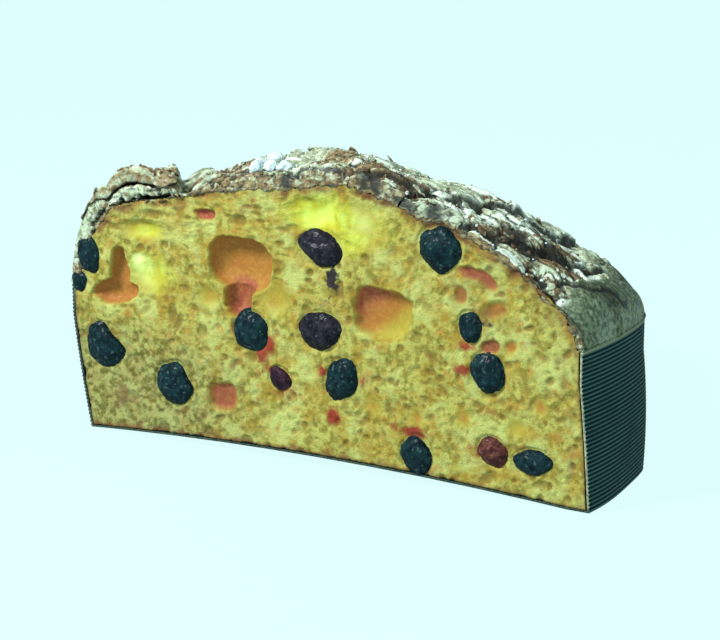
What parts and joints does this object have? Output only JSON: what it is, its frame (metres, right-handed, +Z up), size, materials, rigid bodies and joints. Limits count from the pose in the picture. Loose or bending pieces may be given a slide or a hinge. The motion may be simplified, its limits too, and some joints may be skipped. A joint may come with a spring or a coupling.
{
  "type": "colomba cake half",
  "caption": "Half of a dove-shaped festive cake in a ribbed paper case, cut across the wings to show its open crumb and whole berries.",
  "frame": {"origin": "on the table, under the middle of the part's bounding box", "axes": "+X along the cut from the left wing tip to the right one, +Y back from the cut face to the tip of the tail, +Z up"},
  "size_m": [0.218, 0.1576, 0.1122],
  "materials": {
    "crumb": "soft open crumb with a matte baked crust",
    "paper": "ribbed matte paper",
    "berry_dark": "dark wrinkled skin with a moist sheen",
    "berry_red": "reddish brown moist skin"
  },
  "bodies": {
    "root": {"cake": "crumb", "paper_case": "paper", "berry_crown": "berry_dark", "berry_shoulder": "berry_dark", "berry_middle_left": "berry_dark", "berry_middle": "berry_dark", "berry_wing_left": "berry_dark", "berry_low_left": "berry_dark", "berry_tilted": "berry_dark", "berry_right_small": "berry_dark", "berry_right": "berry_dark", "berry_bottom": "berry_dark", "berry_low_right": "berry_dark", "berry_reddish": "berry_red", "berry_speck": "berry_dark", "berry_left_edge": "berry_dark", "berry_left_rim": "berry_dark"}
  },
  "joints": []
}
